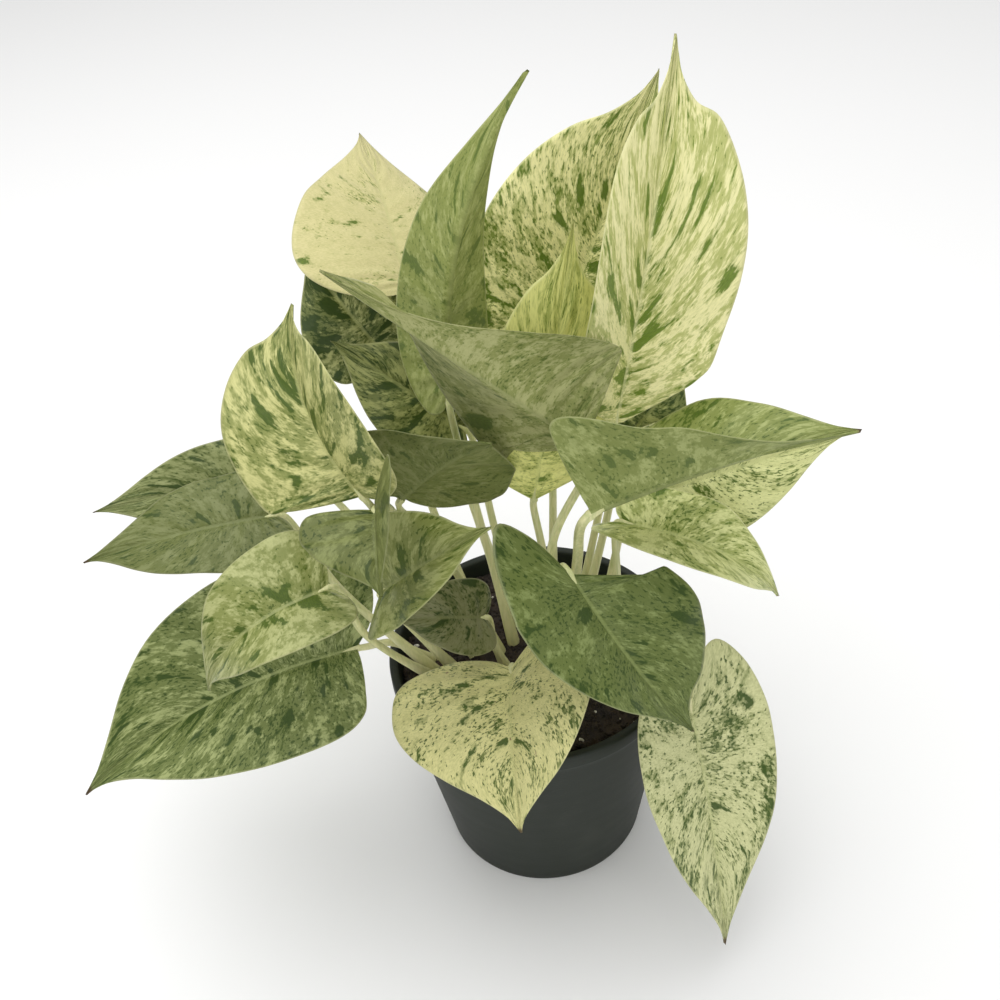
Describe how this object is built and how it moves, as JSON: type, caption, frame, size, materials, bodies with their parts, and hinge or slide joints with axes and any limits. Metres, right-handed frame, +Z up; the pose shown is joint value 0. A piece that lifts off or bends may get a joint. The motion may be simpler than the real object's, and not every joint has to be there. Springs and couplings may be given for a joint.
{
  "type": "potted pothos plant",
  "caption": "Young variegated marble pothos with broad cream and green leaves in a small round plastic nursery pot.",
  "frame": {"origin": "centre of the pot's footprint, on the plane the pot stands on", "axes": "+Z up along the pot's axis, -Y towards the plant's front"},
  "size_m": [0.3061, 0.245, 0.342],
  "materials": {
    "pot_plastic": "satin",
    "potting_mix": "matte",
    "vine_stem": "satin",
    "leaf_stalk": "satin",
    "leaf_blade": "satin"
  },
  "bodies": {
    "root": {"pot": "pot_plastic", "soil": "potting_mix", "stem_front": "vine_stem", "stem_left": "vine_stem", "stem_back": "vine_stem", "leaf_01": "leaf_blade", "stalk_01": "leaf_stalk", "leaf_02": "leaf_blade", "stalk_02": "leaf_stalk", "leaf_03": "leaf_blade", "stalk_03": "leaf_stalk", "leaf_04": "leaf_blade", "stalk_04": "leaf_stalk", "leaf_05": "leaf_blade", "stalk_05": "leaf_stalk", "leaf_06": "leaf_blade", "stalk_06": "leaf_stalk", "leaf_07": "leaf_blade", "stalk_07": "leaf_stalk", "leaf_08": "leaf_blade", "stalk_08": "leaf_stalk", "leaf_09": "leaf_blade", "stalk_09": "leaf_stalk", "leaf_10": "leaf_blade", "stalk_10": "leaf_stalk", "leaf_11": "leaf_blade", "stalk_11": "leaf_stalk", "leaf_12": "leaf_blade", "stalk_12": "leaf_stalk", "leaf_13": "leaf_blade", "stalk_13": "leaf_stalk", "leaf_14": "leaf_blade", "stalk_14": "leaf_stalk", "leaf_15": "leaf_blade", "stalk_15": "leaf_stalk", "leaf_16": "leaf_blade", "stalk_16": "leaf_stalk", "leaf_17": "leaf_blade", "stalk_17": "leaf_stalk", "leaf_18": "leaf_blade", "stalk_18": "leaf_stalk", "leaf_19": "leaf_blade", "stalk_19": "leaf_stalk", "leaf_20": "leaf_blade", "stalk_20": "leaf_stalk", "leaf_21": "leaf_blade", "stalk_21": "leaf_stalk", "leaf_22": "leaf_blade", "stalk_22": "leaf_stalk", "leaf_23": "leaf_blade", "stalk_23": "leaf_stalk", "leaf_24": "leaf_blade", "stalk_24": "leaf_stalk"}
  },
  "joints": []
}
